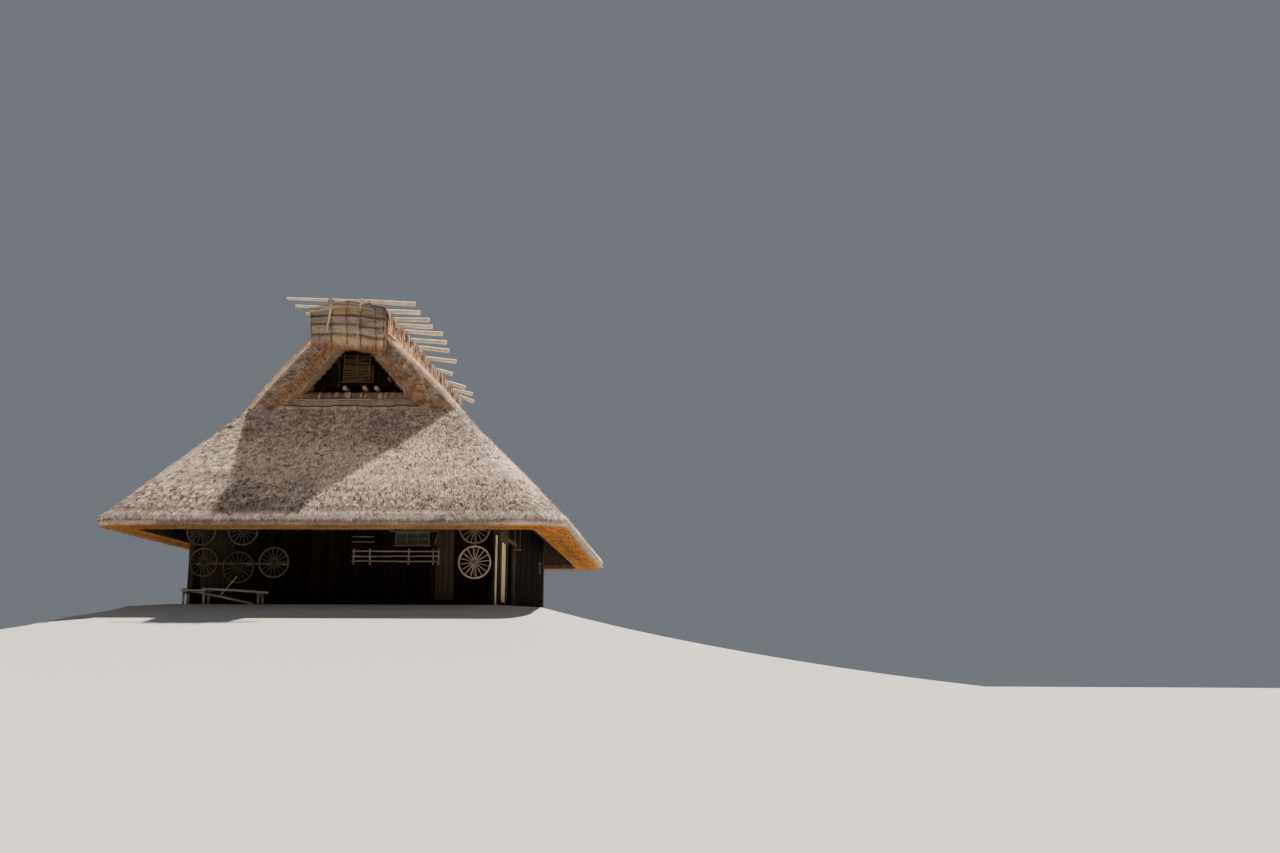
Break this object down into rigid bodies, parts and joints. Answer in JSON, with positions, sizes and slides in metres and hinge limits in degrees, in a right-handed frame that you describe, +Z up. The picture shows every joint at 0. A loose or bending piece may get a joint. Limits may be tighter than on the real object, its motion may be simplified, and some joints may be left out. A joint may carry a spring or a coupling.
{
  "type": "minka farmhouse with a hip-and-gable thatched roof",
  "caption": "One-storey Japanese farmhouse: dark board walls, thick thatched hip-and-gable roof, crosswise ridge logs, cart wheels hung on the front wall.",
  "frame": {"origin": "on the ground under the middle of the house, the bottom centre of its box", "axes": "+Z up, +Y along the ridge from the front gable to the back one, +X to the right seen from the front"},
  "size_m": [15.62, 19.52, 10.8068],
  "materials": {
    "thatch": "weathered grey-brown reed thatch",
    "straw": "packed tan straw",
    "bark": "purple-brown bark sheets",
    "log": "bare pale logs",
    "smoked_wood": "smoke-darkened round timber",
    "dark_wood": "dark weathered boards",
    "old_wood": "bare weathered timber",
    "reed": "split reeds",
    "wheel_wood": "dry grey-brown oak"
  },
  "bodies": {
    "root": {"thatch_right": "thatch", "thatch_left": "thatch", "thatch_front": "thatch", "thatch_back": "thatch", "ridge_cover": "straw", "ridge_end_front": "straw", "ridge_end_back": "straw", "ridge_cap": "bark", "hip_cap_front": "bark", "hip_cap_back": "bark", "ridge_log_01": "log", "ridge_log_02": "log", "ridge_log_03": "log", "ridge_log_04": "log", "ridge_log_05": "log", "ridge_log_06": "log", "ridge_log_07": "log", "ridge_log_08": "log", "ridge_log_09": "log", "ridge_log_10": "log", "ridge_log_11": "log", "ridge_log_12": "log", "ridge_pole": "smoked_wood", "loft_poles": "smoked_wood", "tie_beam_1": "smoked_wood", "tie_beam_2": "smoked_wood", "tie_beam_3": "smoked_wood", "rafter_right_1": "smoked_wood", "rafter_right_2": "smoked_wood", "rafter_right_3": "smoked_wood", "rafter_left_1": "smoked_wood", "rafter_left_2": "smoked_wood", "rafter_left_3": "smoked_wood", "wall_plate_front": "smoked_wood", "wall_plate_back": "smoked_wood", "wall_plate_left": "smoked_wood", "wall_plate_right": "smoked_wood", "front_wall": "dark_wood", "back_wall": "dark_wood", "left_wall": "dark_wood", "right_wall_front": "dark_wood", "right_wall_back": "dark_wood", "right_wall_over_door": "dark_wood", "gable_wall_front": "dark_wood", "gable_wall_back": "dark_wood", "corner_post_front_left": "old_wood", "corner_post_front_right": "old_wood", "corner_post_back_left": "old_wood", "corner_post_back_right": "old_wood", "front_window": "old_wood", "right_window": "old_wood", "back_window": "old_wood", "left_window": "old_wood", "wall_rack": "old_wood", "shaft_stand": "old_wood", "gable_screen_front": "reed", "gable_screen_back": "reed", "wheels_left_lower": "wheel_wood", "wheels_left_upper": "wheel_wood", "wheels_right": "wheel_wood"}
  },
  "joints": []
}
